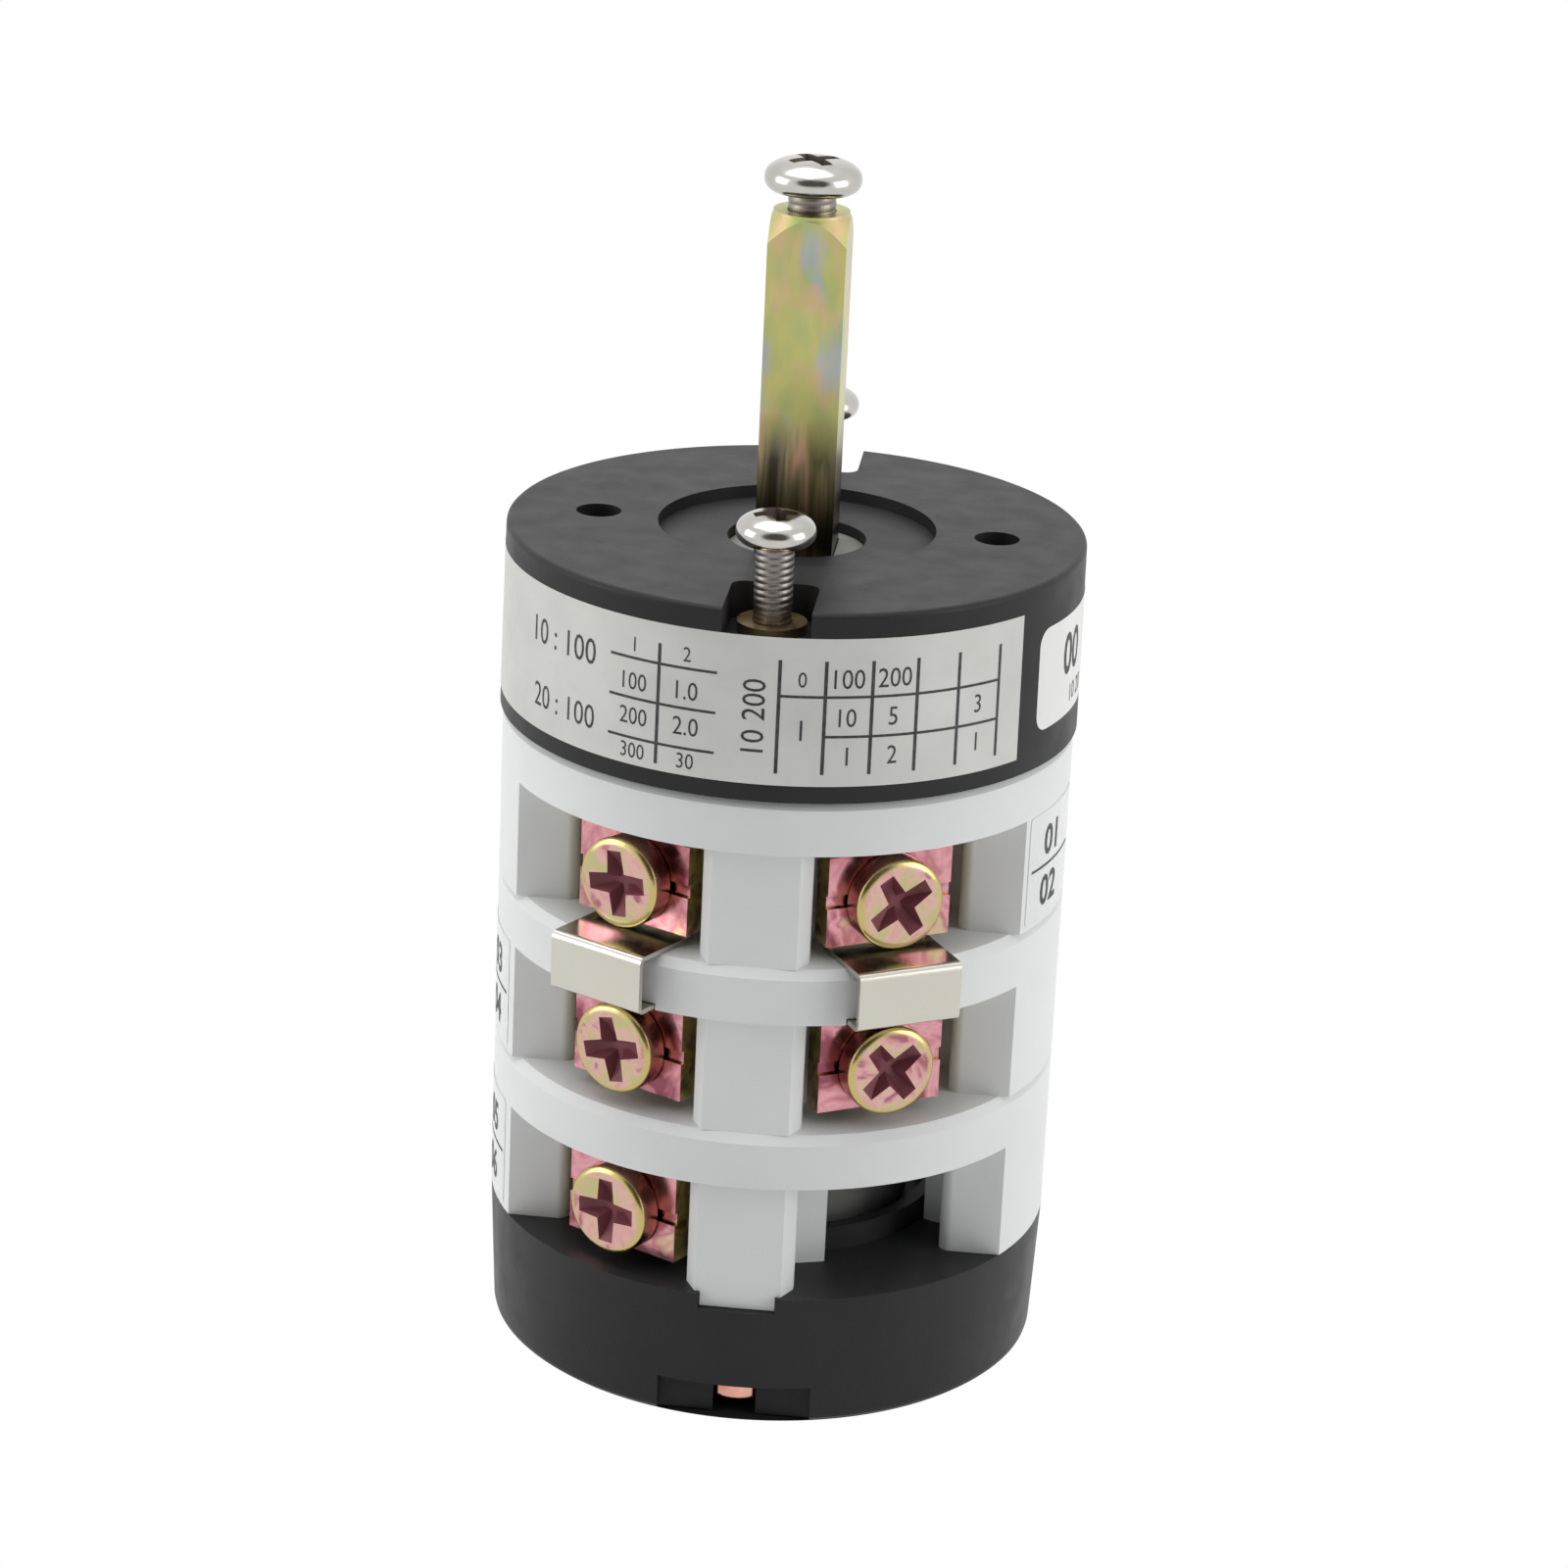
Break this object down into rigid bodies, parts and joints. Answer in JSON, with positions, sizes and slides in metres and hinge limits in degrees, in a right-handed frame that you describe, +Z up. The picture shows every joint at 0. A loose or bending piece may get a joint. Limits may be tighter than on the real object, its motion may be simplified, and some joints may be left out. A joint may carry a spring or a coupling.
{
  "type": "reversing drum switch",
  "caption": "Round stack of open contact decks between a base and a detent housing, with clamp terminals, jumper links and a square shaft that turns to either side of a middle off position.",
  "frame": {"origin": "centre of the base's underside, on the shaft's axis", "axes": "+Z up the shaft; -Y is the front, where the two jumper links are; +X is to the right of the front"},
  "size_m": [0.0604, 0.0607, 0.127],
  "materials": {
    "black_plastic": "fine moulded satin",
    "pale_plastic": "smooth moulded",
    "grey_plastic": "smooth moulded",
    "yellow_zinc": "yellow passivated zinc",
    "nickel": "bright nickel",
    "copper": "bare strip",
    "spring_steel": "plain spring steel"
  },
  "bodies": {
    "stator": {"base": "black_plastic", "detent_housing": "black_plastic", "deck_lower": "pale_plastic", "deck_middle": "pale_plastic", "deck_upper": "pale_plastic", "sleeve_nut_front": "yellow_zinc", "sleeve_nut_rear": "yellow_zinc", "tie_bolt_front": "yellow_zinc", "tie_bolt_rear": "yellow_zinc", "clamp_plates_lower": "yellow_zinc", "clamp_plates_middle": "yellow_zinc", "clamp_plates_upper": "yellow_zinc", "terminal_screws_lower": "yellow_zinc", "terminal_screws_middle": "yellow_zinc", "terminal_screws_upper": "yellow_zinc", "mounting_screw_front": "nickel", "mounting_screw_rear": "nickel", "jumper_link_left": "nickel", "jumper_link_right": "nickel", "contact_lower_front_left": "copper", "contact_lower_rear_left": "copper", "contact_middle_front_left": "copper", "contact_middle_front_right": "copper", "contact_middle_rear_left": "copper", "contact_middle_rear_right": "copper", "contact_upper_front_left": "copper", "contact_upper_front_right": "copper", "contact_upper_rear_left": "copper", "contact_upper_rear_right": "copper", "thrust_washer": "spring_steel", "detent_spring_front": "spring_steel", "detent_spring_rear": "spring_steel"},
    "shaft": {"square_shaft": "yellow_zinc", "retaining_clip": "spring_steel", "handle_screw": "nickel", "index_cam": "pale_plastic", "stop_plate": "spring_steel", "rotor_lower": "grey_plastic", "rotor_middle": "grey_plastic", "rotor_upper": "grey_plastic", "bridge_lower": "copper", "bridge_middle_left": "copper", "bridge_middle_right": "copper", "bridge_upper_left": "copper", "bridge_upper_right": "copper", "bridge_spring_lower": "spring_steel", "bridge_spring_middle": "spring_steel", "bridge_spring_upper": "spring_steel"}
  },
  "joints": [
    {"name": "shaft_turn", "type": "hinge", "parent": "stator", "child": "shaft", "pos_m": [0, 0, 0.0886], "axis": [0, 0, 1], "range_deg": [-45, 45], "deforming": ["detent_spring_front", "detent_spring_rear"]}
  ]
}
